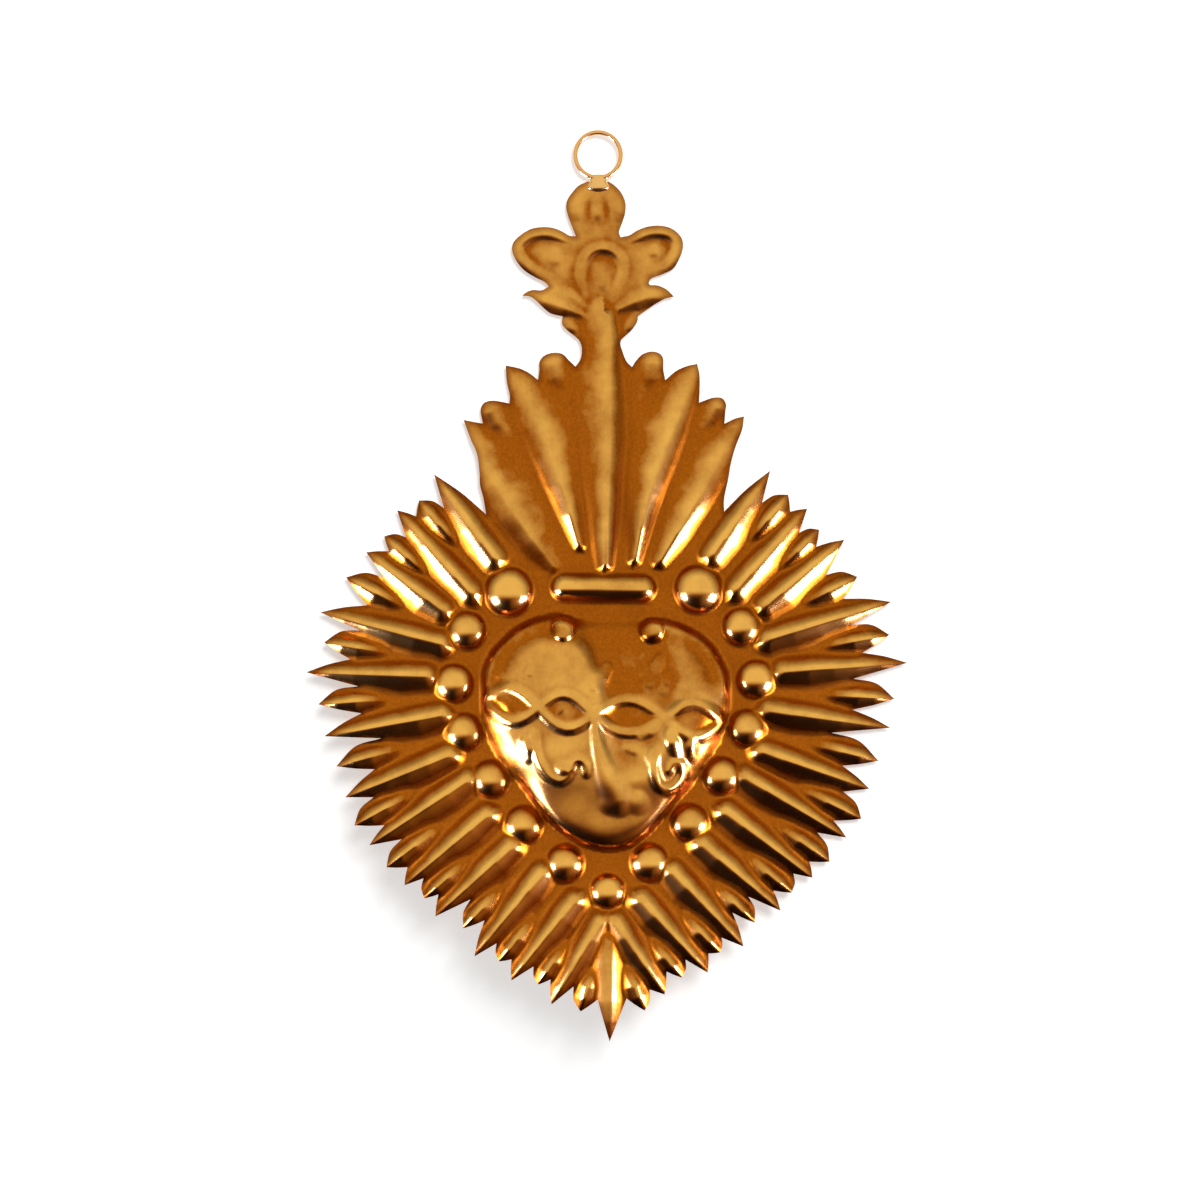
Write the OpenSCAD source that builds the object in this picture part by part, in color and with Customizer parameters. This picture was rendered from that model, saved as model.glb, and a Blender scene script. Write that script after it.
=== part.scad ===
// A milagro charm: a crowned heart in a sunburst, pressed in one thin sheet, with a soldered wire ring.
// The drawing plane has x across and y up, from the centre of the ring's eye, and relief rises along z.
// The finished charm hangs upright: its top is +Z and its front faces -Y.

/* [Sheet] */
// Thickness of the sheet
sheet_t = 0.4; // [0.3:0.05:0.6]

/* [Sunburst] */
// Width over the tips of the longest rays
burst_w = 87.2; // [80:0.2:94]
// Height from the tips of the topmost rays down to the bottom tip
burst_h = 82.5; // [76:0.5:89]
// Drop from the ring's eye to the tips of the topmost rays
burst_drop = 46; // [45:0.25:47]
// Half width of a long ray's ridge
long_ray_r = 2.3; // [1.9:0.1:2.6]
// Relief of a long ray
long_ray_rise = 1.7; // [1.2:0.1:2.4]
// Half width of a short ray's ridge
short_ray_r = 1.7; // [1.3:0.1:2.1]
// Relief of a short ray
short_ray_rise = 1.3; // [0.9:0.1:1.8]

/* [Heart] */
// Width of the heart
heart_w = 36.6; // [34:0.2:37.4]
// Height of the heart from its lobes to its tip
heart_h = 35; // [33:0.25:35.5]
// Relief of the heart
heart_rise = 4.6; // [3:0.2:6]
// Radius of the strands of the crown round the heart
strand_r = 0.8; // [0.5:0.05:1]
// Relief of the crown above the heart
strand_rise = 0.6; // [0.4:0.05:0.8]
// Slope of the crown, down to the right
crown_tilt = 4; // [0:0.5:6]

/* [Beads and bar] */
// Radius of a bead
bead_r = 3; // [2.4:0.1:3.3]
// Radius of the two beads beside the bar
corner_bead_r = 3.7; // [3:0.1:4]
// Relief of a bead, as a share of its radius
bead_fullness = 0.8; // [0.6:0.05:0.9]
// Width of the bar over the heart
bar_w = 15.4; // [12:0.2:17]
// Height of the bar
bar_h = 4.3; // [3:0.1:5]
// Relief of the bar
bar_rise = 1.7; // [1:0.1:2.1]

/* [Flames] */
// Height of the middle flame, from the bar to its stem
flame_h = 36; // [34.5:0.25:37]
// Half width of the middle flame
flame_r = 3.6; // [3:0.1:4.2]
// Relief of the flames
flame_rise = 2.1; // [1.5:0.1:3]
// Radius of the round lobes between the flames
lobe_r = 2.1; // [1.6:0.1:2.4]

/* [Flower] */
// Half width of a side petal
petal_r = 4.1; // [3.6:0.1:4.3]
// Radius of each shoulder of the top petal
top_petal_r = 3.3; // [2.9:0.1:3.6]
// Radius of the rim of the small front petal
front_petal_r = 2.4; // [1.9:0.1:2.7]
// Radius of the rolled rim of a petal
petal_rim_r = 0.75; // [0.5:0.05:0.9]
// Relief of the petals
petal_rise = 0.9; // [0.6:0.1:1.2]
// Reach of the flower's side petals from the middle line
petal_reach = 12.4; // [11.4:0.1:13.4]

/* [Ring] */
// Diameter of the wire
wire_d = 0.72; // [0.6:0.02:0.8]
// Inner diameter of the ring
eye_d = 5.86; // [5.86:0.02:6.4]
// Radius of the bend that turns each end of the wire down, at the wire's middle
bend_r = 0.6; // [0.5:0.05:0.9]
// Length of the wire's ends on the top petal
wire_lap = 1.1; // [0.8:0.1:1.6]
// Radius of the pool of solder on the petal
solder_r = 1.75; // [1.5:0.05:2]

/* [Hidden] */
copper = "#b87a2e";
brass = "#d9a05b";
silver_brass = "#e6c07a";

// How far every raised form runs on behind the sheet, before the press tool cuts it flat
sunk = 1;
// Depth of the tallest cut, well over any relief
reach = 20;
// Growth of a sloping flank that gives the sheet its full thickness there
flank_gain = 1.2;
// Run of a ridge's blunt nose for each millimetre that it rises
nose_slope = 0.8;
// How far a ridge runs on past the cut tip of its ray, and the flat edge left round a lobe
over_tip = 0.6;
lobe_edge = 0.25;
// Half width of the blunt end of a cut tip
tip_flat = 0.08;
// The end of a rolled rim is this much fuller than the rim
end_gain = 0.05;
round_fn = 12;
rim_fn = 6;
button_fn = 18;
rim_steps = 12;
crown_steps = 8;
fine_fn = 48;
wire_sides = 10;
loop_steps = 40;
bend_steps = 5;

// The drawing was laid out at this width and height of sunburst, and is stretched to the real ones
drawn_w = 87.2;
drawn_h = 82.5;
drawn_top = 46;

// Tips of the long rays of the right half, from the top down
long_tips = [
    [24.5, -46], [29.5, -51.5], [34.5, -56.5], [41.5, -65.5], [43.6, -74.5], [41, -83.5], [38, -92.5],
    [34.5, -99.5], [29.5, -105.5], [25, -110], [19.5, -115.5], [14, -119], [8, -122.5]
];
// Blunt inner ends of the same rays
long_noses = [
    [16, -58], [19.5, -63], [23.5, -65.5], [24, -70.5], [26, -75], [24, -81], [23, -86.5],
    [20.5, -90.5], [17.5, -95.5], [14, -100], [9.5, -104], [5, -108], [1, -111]
];
// Tips of the short rays, each just below its long one
short_tips = [
    [27, -49.5], [31.5, -55], [37, -61], [41, -70], [42, -79], [39.5, -88], [37, -96.5],
    [32, -103], [26.5, -107.5], [21, -111.5], [16, -116.5], [10.5, -120], [4.5, -124]
];
// Notches below each long ray, and below each short one
long_notches = [
    [23, -51], [28.5, -55], [32, -61], [35.5, -68.5], [36, -76.5], [32.5, -84], [34, -92.5],
    [30, -98.5], [27, -104.5], [20, -107.5], [16.5, -114], [11, -117], [5.5, -121]
];
short_notches = [
    [27, -52], [31, -57], [34.5, -65], [37, -72.5], [35.5, -80.5], [34, -89], [32.5, -97],
    [29, -103], [24.5, -107], [18, -110.5], [14.5, -116], [8.5, -119], [2, -122.5]
];
top_notch = [17.5, -51.5];
bottom_tip = [0, -128.5];
bottom_nose = [0, -114];
last_ray = len(long_tips) - 1;

// Middles of the beads of the right half, from the bar down, and the one below the heart
bead_spots = [[20, -68.5], [22, -76.5], [20.5, -83.5], [17, -90.5], [12, -97], [6, -102.5]];
corner_spot = [13.8, -63];
foot_spot = [0, -107];
bar_spot = [0, -62.8];
heart_top = [0, -66.4];

// Roots and tips of the two flames beside the middle one, and the heads and tails of the lobes
side_flames = [[[3.2, -58.6], [13.9, -30.5], 3.5], [[7.4, -59.6], [20.2, -38], 3.7]];
lobes = [[[7, -30.6], [4.2, -44], 1], [[16.2, -37], [11.5, -49], 0.85]];
// Notches between the flames and lobes of the right half, down to the sunburst
fan_notches = [[0, -30], [4, -30.5], [9.2, -32.4], [14.1, -36], [17.2, -39], top_notch];

// The flower stands on its stem, and its petals, leaves and leaflets come out of the middle of it
flower_eye = [0, -17.4];
petal_spot = [petal_reach - petal_r, flower_eye[1] + 3.2];
leaf_tip = [11, -20.6];
leaf_root = [1.6, -22.6];
leaflet_tip = [5.4, -24.2];
leaflet_root = [1.8, -27.4];
stem_w = 5.9;
stem_foot = -32;
rim_rise = petal_rise * 0.8;

wire_r = wire_d / 2;
loop_r = eye_d / 2 + wire_r;
// The two ends of the wire lie side by side under the loop, a hair apart
end_x = wire_r + 0.05;
bend_y = -sqrt(pow(loop_r + bend_r, 2) - pow(end_x + bend_r, 2));
bend_angle = atan2(-bend_y, end_x + bend_r);
petal_top_y = -loop_r - wire_r - 0.2;
top_petal_y = petal_top_y - top_petal_r;
wire_end_y = petal_top_y - wire_lap;
front_petal_spot = flower_eye + [0, 1.9];
// Solder fills this gap between the wire and the front of the sheet
solder_bed = 0.05;
front_y = wire_r + solder_bed;
back_y = front_y + sheet_t;
solder_rise = wire_d + solder_bed + 0.1;

// A point of the drawing, stretched to the chosen width and height of the sunburst
function laid(p) = [
    p[0] * burst_w / drawn_w,
    -burst_drop + (p[1] + drawn_top) * burst_h / drawn_h
];
// Unit vector from a to b, and the one at its left hand
function aim(a, b) = (b - a) / norm(b - a);
function left_of(v) = [-v[1], v[0]];
// A point at share s of the way from a to b
function part_way(a, b, s) = a + (b - a) * s;
function flipped(points) = [for (i = [len(points) - 1:-1:0]) [-points[i][0], points[i][1]]];
// A point of the drawing at height z
function lifted(p, z) = [p[0], p[1], z];

// One cut across a tent-like ridge, at distance d along it from a: two feet behind the sheet, and the
// crest between them. The flanks pass through the sheet's back at half width w.
function tent_row(a, b, d, w, rise) =
    let (
        p = a + aim(a, b) * d,
        side = left_of(aim(a, b)),
        foot = w * (rise + sunk) / rise
    )
    [lifted(p + side * foot, -sunk), lifted(p - side * foot, -sunk), lifted(p, rise)];

// Half width of a leaf at share s of its length, widest where peak says
function leaf_half(s, w, peak) = w * sin(180 * pow(s, ln(0.5) / ln(peak)));
function leaf_edge(a, b, w, peak, side) = [
    for (i = [1:9])
        let (s = i / 10)
        part_way(a, b, s) + left_of(aim(a, b)) * side * leaf_half(s, w, peak)
];
function leaf_points(a, b, w, peak) =
    let (blunt = left_of(aim(a, b)) * tip_flat)
    concat(
        [a], leaf_edge(a, b, w, peak, 1), [b + blunt, b - blunt],
        [for (i = [8:-1:0]) leaf_edge(a, b, w, peak, -1)[i]]
    );

// The convex solid round a list of points
module wrap(points) {
    hull() polyhedron(points, [for (i = [0:len(points) - 3]) [i, i + 1, i + 2]]);
}

module both_sides() {
    children();
    mirror([1, 0, 0]) children();
}

// A tent-like ridge with a blunt nose at a, a full belly, and a keen tip at b. Growing it lifts it whole.
module ridge(a, b, w, rise, grow, nose = 0.7, belly = 0.5) {
    run = norm(b - a);
    side = left_of(aim(a, b)) * w * nose * 0.6;
    toe = a - aim(a, b) * nose_slope * sunk;
    heel = b + aim(a, b) * (over_tip + nose_slope * (sunk + rise * 0.3));
    translate([0, 0, grow * flank_gain]) wrap(concat(
        [lifted(toe + side, -sunk), lifted(toe - side, -sunk), lifted(heel, -sunk)],
        tent_row(a, b, nose_slope * rise, w * nose, rise * 0.8),
        tent_row(a, b, run * belly, w, rise),
        tent_row(a, b, run + over_tip, w * 0.3, rise * 0.3)
    ));
}

// A smooth cap of the given radius at the sheet, whose top stands at the given rise
function cap_ball(r, rise) = (r * r + rise * rise) / (2 * rise);
module cap(r, rise, grow, fn = round_fn) {
    ball_r = cap_ball(r, rise);
    translate([0, 0, rise - ball_r]) sphere(ball_r + grow, $fn = fn);
}

module rays(grow) {
    both_sides() for (i = [0:last_ray]) {
        ridge(laid(long_noses[i]), laid(long_tips[i]), long_ray_r, long_ray_rise, grow);
        short_ray(i, grow);
    }
    ridge(laid(bottom_nose), laid(bottom_tip), long_ray_r, long_ray_rise, grow);
}

// A short ray is a leaf that starts half way out between two long ones
module short_ray(i, grow) {
    next_nose = i == last_ray ? bottom_nose : long_noses[i + 1];
    tip = laid(short_tips[i]);
    root = laid((long_noses[i] + next_nose) / 2);
    ridge(part_way(root, tip, 0.42), tip, short_ray_r, short_ray_rise, grow, 0.2, 0.45);
}

module beads(grow) {
    both_sides() {
        for (p = bead_spots) translate(lifted(laid(p), 0)) cap(bead_r, bead_r * bead_fullness, grow);
        translate(lifted(laid(corner_spot), 0)) cap(corner_bead_r, corner_bead_r * bead_fullness, grow);
    }
    translate(lifted(laid(foot_spot), 0)) cap(bead_r, bead_r * bead_fullness, grow);
}

module bar(grow) {
    translate(lifted(laid(bar_spot), 0)) hull() both_sides()
        translate([(bar_w - bar_h) / 2, 0, 0]) cap(bar_h / 2, bar_rise, grow);
}

// Half of the heart: the lobe, the side and the tip, each a button with a rolled edge, and the skin over them
module half_heart(grow) {
    lobe = heart_w * 0.3;
    side = heart_w * 0.25;
    tip = heart_w * 0.24;
    hull() {
        translate([heart_w / 2 - lobe, -lobe, 0]) button(lobe, heart_rise, grow);
        translate([heart_w * 0.155, -heart_h * 0.56, 0]) button(side, heart_rise * 0.93, grow);
        translate([0, -heart_h + tip, 0]) button(tip, heart_rise * 0.75, grow);
    }
}

module button(r, rise, grow) {
    top = rise + grow;
    rim = min(r * 0.8, rise * 1.3);
    rotate_extrude($fn = button_fn) polygon(concat(
        [[0, -sunk], [r + grow + 0.3, -sunk], [r + grow, 0]],
        [for (a = [30:25:80]) [r + grow - rim * (1 - cos(a)), top * sin(a)]],
        [[0, top]]
    ));
}

module heart(grow) {
    translate(lifted(laid(heart_top), 0)) {
        both_sides() {
            half_heart(grow);
            // The inner end of each lobe curls into a small bead
            translate([heart_w * 0.165, -heart_h * 0.08, heart_rise * 0.8]) sphere(strand_r * 1.5 + grow, $fn = rim_fn);
        }
        crown(grow);
    }
}

// Two strands cross each other in waves across the heart and follow its dome
module crown(grow) {
    translate([0, -heart_h * 0.4, 0]) rotate([0, 0, -crown_tilt])
        for (turn = [-1, 1]) for (i = [-crown_steps:crown_steps - 1]) hull() {
            strand_spot(i / crown_steps, turn, grow);
            strand_spot((i + 1) / crown_steps, turn, grow);
        }
}

// A strand's place at share s of the way from the middle to the heart's side
module strand_spot(s, turn, grow) {
    span = heart_w / 2 - 0.8;
    wave = heart_h * 0.075;
    fall = heart_rise * 0.7 * pow(abs(s), 6);
    translate([s * span, turn * wave * sin(360 * s), heart_rise + strand_rise - strand_r - fall])
        sphere(strand_r + grow, $fn = rim_fn);
}

module flames(grow) {
    root = laid([0, -58.9]);
    tip = root + [0, flame_h];
    ridge(root, tip, flame_r, flame_rise, grow, 0.4, 0.55);
    both_sides() {
        for (f = side_flames) ridge(laid(f[0]), laid(f[1]), f[2], flame_rise, grow, 0.35, 0.55);
        for (l = lobes) hull() {
            translate(lifted(laid(l[0]), 0)) cap(lobe_r * l[2], lobe_r * l[2] * 0.6, grow);
            translate(lifted(laid(l[1]), 0)) cap(0.6, 0.3, grow, rim_fn);
        }
    }
}

module flower_relief(grow) {
    both_sides() {
        side_petal_relief(grow);
        // The top petal's rim stays clear of the solder
        translate(lifted([0, top_petal_y], 0)) rolled_rim(top_petal_r - petal_rim_r + 0.4, -60, 40, grow);
        translate(lifted(front_petal_spot, 0)) rolled_rim(front_petal_r, -40, 80, grow);
        ridge(leaf_root, leaf_tip, 1.9, petal_rise * 1.2, grow, 0.3, 0.5);
        ridge(leaflet_root, leaflet_tip, 1.1, petal_rise * 0.8, grow, 0.5, 0.5);
    }
    translate(lifted([0, top_petal_y - 0.9], 0)) drop_relief(-90, 3.4, grow);
    translate(lifted(front_petal_spot, 0)) drop_relief(-90, 3.2, grow);
}

// A side petal has a rolled rim round it and a drop in the middle
module side_petal_relief(grow) {
    axis = aim(flower_eye, petal_spot);
    translate(lifted(petal_spot, 0)) rotate([0, 0, atan2(axis[1], axis[0])]) {
        rolled_rim(petal_r - petal_rim_r - 0.3, -120, 100, grow);
        drop_relief(180, 3.2, grow);
    }
}

// A rounded rim along an arc, with a round end at each end
module rolled_rim(r, from, to, grow) {
    ball_r = cap_ball(petal_rim_r, rim_rise);
    rotate([0, 0, from]) rotate_extrude(angle = to - from, $fn = rim_steps)
        translate([r, rim_rise - ball_r]) circle(ball_r + grow, $fn = rim_fn);
    for (a = [from, to]) rotate([0, 0, a])
        translate([r, 0, 0]) cap(petal_rim_r + end_gain, rim_rise + end_gain, grow, rim_fn);
}

// A drop with a round head, whose tail points along the given angle
module drop_relief(turn, length, grow) {
    hull() {
        cap(1.05, petal_rise * 0.8, grow, rim_fn);
        rotate([0, 0, turn]) translate([length, 0, 0]) cap(0.5, petal_rise * 0.4, grow, rim_fn);
    }
}

// Everything that the press raises, grown by one sheet for its outside
module relief(grow) {
    rays(grow);
    beads(grow);
    bar(grow);
    heart(grow);
    flames(grow);
    flower_relief(grow);
}

// The cut edge of the sunburst: every flank swells a little between its notch and its tip
function swollen(a, b, k) = (a + b) / 2 + left_of(b - a) * k;
function tooth(from, tip, to, k) =
    let (blunt = aim(laid(from), laid(to)) * tip_flat)
    [
        laid(from), swollen(laid(from), laid(tip), k),
        laid(tip) - blunt, laid(tip) + blunt,
        swollen(laid(tip), laid(to), k)
    ];
function burst_half() = [
    for (i = [0:last_ray])
        let (above = i == 0 ? top_notch : short_notches[i - 1])
        each concat(
            tooth(above, long_tips[i], long_notches[i], 0.04),
            tooth(long_notches[i], short_tips[i], short_notches[i], 0.1)
        )
];

module burst_plan() {
    half = concat(burst_half(), [laid(short_notches[last_ray])]);
    polygon(concat(half, [laid(bottom_tip) + [tip_flat, 0], laid(bottom_tip) - [tip_flat, 0]], flipped(half)));
}

module flame_plan() {
    root = laid([0, -58.9]);
    tip = root + [0, flame_h];
    polygon(leaf_points(root - [0, 8], tip + [0, 3], flame_r * 1.1, 0.5));
    both_sides() {
        for (f = side_flames) polygon(leaf_points(laid(f[0]), laid(f[1]), f[2] * 1.1, 0.5));
        for (l = lobes) hull() {
            translate(laid(l[0])) circle(lobe_r * l[2] + lobe_edge, $fn = 24);
            translate(laid(l[1])) circle(lobe_r, $fn = 12);
        }
    }
    fan = [for (p = fan_notches) laid(p)];
    polygon(concat(fan, flipped(fan)));
}

module flower_plan() {
    // Top petal
    hull() {
        both_sides() translate([1, top_petal_y]) circle(top_petal_r, $fn = 32);
        translate([0, flower_eye[1] + 5]) circle(3, $fn = 24);
    }
    both_sides() {
        hull() {
            translate(petal_spot) circle(petal_r, $fn = 32);
            translate(flower_eye + [1, 0]) circle(petal_r * 0.7, $fn = 24);
        }
        polygon(leaf_points(leaf_root - [1, 0], leaf_tip, 2.2, 0.5));
        polygon(leaf_points(leaflet_root - [1, 1], leaflet_tip, 1.6, 0.5));
    }
    translate(flower_eye - [0, 2]) circle(petal_r + 0.6, $fn = 32);
    translate([-stem_w / 2, stem_foot]) square([stem_w, flower_eye[1] - stem_foot]);
}

module plan() {
    burst_plan();
    flame_plan();
    flower_plan();
}

module pressed_sheet() {
    color(copper) translate([0, back_y, 0]) rotate([90, 0, 0]) intersection() {
        linear_extrude(reach) plan();
        difference() {
            union() {
                translate([-reach * 4, -reach * 8, 0]) cube([reach * 8, reach * 9, sheet_t]);
                relief(sheet_t);
            }
            relief(0);
        }
    }
}

function arc(c, r, from, to, steps, skip = 0) = [
    for (i = [skip:steps])
        let (a = from + (to - from) * i / steps)
        c + r * [cos(a), sin(a)]
];

// The middle line of the wire: up one end, round its bend, over the loop, and down again
function wire_path() = concat(
    [[-end_x, wire_end_y]],
    arc([-end_x - bend_r, bend_y], bend_r, 0, bend_angle, bend_steps),
    arc([0, 0], loop_r, 180 + bend_angle, -bend_angle, loop_steps, 1),
    arc([end_x + bend_r, bend_y], bend_r, 180 - bend_angle, 180, bend_steps, 1),
    [[end_x, wire_end_y]]
);

// A round wire along a path in the drawing plane, as rings of points joined by faces
module wire(path) {
    last = len(path) - 1;
    points = [
        for (k = [0:last])
            let (side = left_of(aim(path[max(k - 1, 0)], path[min(k + 1, last)])))
            for (j = [0:wire_sides - 1])
                let (a = 360 * j / wire_sides)
                lifted(path[k] + side * wire_r * cos(a), wire_r * sin(a))
    ];
    skin = [
        for (k = [0:last - 1])
            for (j = [0:wire_sides - 1])
                let (next = (j + 1) % wire_sides, ring = k * wire_sides)
                [ring + j, ring + next, ring + wire_sides + next, ring + wire_sides + j]
    ];
    start = [for (j = [wire_sides - 1:-1:0]) j];
    finish = [for (j = [0:wire_sides - 1]) last * wire_sides + j];
    polyhedron(points, concat(skin, [start, finish]));
}

module hanging_ring() {
    color(brass) rotate([90, 0, 0]) wire(wire_path());
}

// A low round pool of solder lies on the petal, with the straight ends of the wire in it
module solder_joint() {
    pool_r = cap_ball(solder_r, solder_rise);
    color(silver_brass) difference() {
        translate([0, front_y - solder_rise + pool_r, petal_top_y - solder_r / 2])
            sphere(pool_r, $fn = fine_fn);
        translate([-reach, front_y, -reach]) cube(2 * reach);
        translate([-reach, -reach, bend_y]) cube(2 * reach);
        for (x = [-end_x, end_x]) translate([x, 0, wire_end_y]) cylinder(h = reach, r = wire_r, $fn = fine_fn);
    }
}

pressed_sheet();
hanging_ring();
solder_joint();
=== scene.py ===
# %% [markdown]
# # A pressed milagro charm
# A milagro is a small votive charm. This one is a thin sheet of copper alloy, pressed over a carved
# stamp: a crowned heart in a sunburst, with flames and a flower above it. A wire ring is soldered to
# the flower, so that the charm can hang.
#
# The CAD part gives the frame, in metres. Each piece below replaces the plain CAD node of its name.

# %% Load the frame
import bpy
import numpy as np
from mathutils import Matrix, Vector
from mathutils.geometry import delaunay_2d_cdt


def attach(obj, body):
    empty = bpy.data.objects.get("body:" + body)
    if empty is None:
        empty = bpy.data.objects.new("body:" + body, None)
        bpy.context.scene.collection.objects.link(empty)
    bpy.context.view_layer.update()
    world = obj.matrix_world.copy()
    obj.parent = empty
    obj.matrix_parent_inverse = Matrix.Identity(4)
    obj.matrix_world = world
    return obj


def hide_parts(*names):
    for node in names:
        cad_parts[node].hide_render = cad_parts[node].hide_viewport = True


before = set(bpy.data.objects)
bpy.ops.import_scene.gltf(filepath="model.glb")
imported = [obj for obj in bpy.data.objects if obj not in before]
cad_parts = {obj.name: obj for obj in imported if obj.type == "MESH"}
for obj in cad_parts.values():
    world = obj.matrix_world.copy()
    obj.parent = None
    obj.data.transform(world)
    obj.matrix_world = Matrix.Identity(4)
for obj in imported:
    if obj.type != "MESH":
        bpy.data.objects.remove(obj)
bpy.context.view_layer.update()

# Millimetres to metres, the metal's thickness, and where the flat sheet's two faces lie in y
MM = 0.001
SHEET = 0.4
FRONT = 0.41
BACK = FRONT + SHEET

# %% [markdown]
# ## From the photograph to millimetres
# The drawing of the charm is read off the photograph, as points in its pixels. One pixel is
# 0.145 mm at the charm. The charm hangs a little askew there, and its ring is bent a little to the
# right, so both are put straight here: the ring's middle is the origin, and z goes up.

# %% Points of the photograph
PIXEL = 0.145
RING_V = 155.6
AXIS_U, AXIS_V, AXIS_LEAN = 602, 473, 0.0123
LEVEL_LEAN = AXIS_LEAN * 1.14
FLOWER_LEAN, LEAN_END = 0.8, 40


def at(points):
    """Millimetres on the sheet for pixels of the photograph: x from the charm's middle line, z from
    the ring. The middle line leans by AXIS_LEAN, and the level lines by LEVEL_LEAN. From LEAN_END below
    the ring upwards the flower leans to the right, by FLOWER_LEAN at the ring, and that is taken off."""
    u, v = np.asarray(points, float).T
    x = ((u - AXIS_U) - (v - AXIS_V) * AXIS_LEAN) * PIXEL
    z = (RING_V - v) * PIXEL - LEVEL_LEAN * x
    return np.stack([x - FLOWER_LEAN * np.clip(1 + z / LEAN_END, 0, 1), z], 1)


def smooth_line(points, step=0.3):
    """A curve through all the points, a cubic between each two whose slope at a point is half the way
    from the one before to the one after it, cut into pieces of about one step."""
    p = np.asarray(points, float)
    if len(p) == 2:
        n = max(int(np.ceil(np.linalg.norm(p[1] - p[0]) / step)), 1)
        return p[0] + np.linspace(0, 1, n + 1)[:, None] * (p[1] - p[0])
    ends = np.concatenate([[2 * p[0] - p[1]], p, [2 * p[-1] - p[-2]]])
    line = [p[:1]]
    for a, b, c, d in zip(ends, ends[1:], ends[2:], ends[3:]):
        n = max(int(np.ceil(np.linalg.norm(c - b) / step)), 1)
        t = np.linspace(0, 1, n + 1)[1:, None]
        bend, twist = 2 * a - 5 * b + 4 * c - d, 3 * b - a - 3 * c + d
        line.append(0.5 * (2 * b + (c - a) * t + bend * t**2 + twist * t**3))
    return np.concatenate(line)


print("one pixel is", PIXEL, "mm, and the picture is", 1200 * PIXEL, "mm wide")


# %% [markdown]
# ## The cut edge
# The sheet was cut round its drawing with shears and a file, so no two teeth are alike. The edge is a
# closed line of many runs. Within a run it is smooth, and where two runs meet it has a corner: at each
# tooth's tip, at each notch, and between the petals. One tooth could be repeated round the heart, but
# a repeated tooth looks machine cut, so each tip and each notch has its own place.

# %% Teeth of the sunburst
LEFT_TIPS = [
    (434, 475), (419, 501), (397, 511), (384, 537), (366, 553), (346, 578), (320, 613), (324, 643),
    (306, 673), (318, 705), (324, 737), (336, 767), (345, 798), (354, 826), (369, 846), (386, 868),
    (404, 886), (424, 899), (435, 917), (463, 929), (474, 957), (499, 962), (511, 981), (538, 985),
    (551, 1005), (580, 1012),
]
LEFT_NOTCHES = [
    (486, 515), (444, 509), (416, 517), (406, 538), (389, 552), (385, 579), (367, 606), (360, 631),
    (350, 660), (358, 687), (361, 714), (381, 739), (374, 770), (373, 798), (384, 826), (401, 840),
    (407, 868), (423, 879), (438, 895), (470, 900), (484, 921), (496, 944), (511, 960), (533, 967),
    (550, 980), (573, 987), (597, 1000),
]
RIGHT_TIPS = [
    (770, 471), (788, 495), (807, 509), (819, 530), (844, 540), (857, 577), (891, 602), (889, 635),
    (907, 663), (894, 699), (890, 728), (878, 761), (869, 789), (861, 819), (846, 838), (829, 862),
    (812, 878), (791, 893), (780, 911), (754, 923), (743, 947), (719, 953), (707, 973), (681, 978),
    (664, 995), (644, 1011),
]
RIGHT_NOTCHES = [
    (724, 512), (762, 503), (790, 512), (799, 533), (816, 547), (826, 575), (843, 599), (851, 625),
    (862, 653), (853, 679), (852, 710), (831, 733), (842, 766), (843, 792), (833, 821), (817, 833),
    (809, 862), (793, 874), (773, 891), (748, 897), (732, 913), (721, 938), (708, 954), (685, 960),
    (666, 972), (649, 990), (626, 999),
]
BOTTOM_TIP = (609, 1042)
# How far the upper and the lower edge of a tooth bow out, as shares of their length
LONG_BOW, SHORT_BOW = (0.03, 0), (0.13, 0.02)


def flank(a, b, bow, turn):
    """One edge of a tooth: from a to b, bowed outwards in its middle by a share of its length."""
    side = np.array([-(b - a)[1], (b - a)[0]]) * turn
    return smooth_line([a, (a + b) / 2 + side * bow, b])


def teeth(tips, notches, turn):
    """The runs of one half of the sunburst, from its top notch to the one beside the bottom tip. A long
    tooth is nearly straight. A short one is bowed on its upper edge, like a leaf."""
    tips, notches = at(tips), at(notches)
    runs = []
    for i, tip in enumerate(tips):
        upper, lower = LONG_BOW if i % 2 == 0 else SHORT_BOW
        runs += [flank(notches[i], tip, upper, turn), flank(tip, notches[i + 1], lower, turn)]
    return runs


burst_left = teeth(LEFT_TIPS, LEFT_NOTCHES, -1)
burst_right = [run[::-1] for run in teeth(RIGHT_TIPS, RIGHT_NOTCHES, 1)[::-1]]
print(len(LEFT_TIPS) + len(RIGHT_TIPS) + 1, "teeth, with the one at the bottom")

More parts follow.
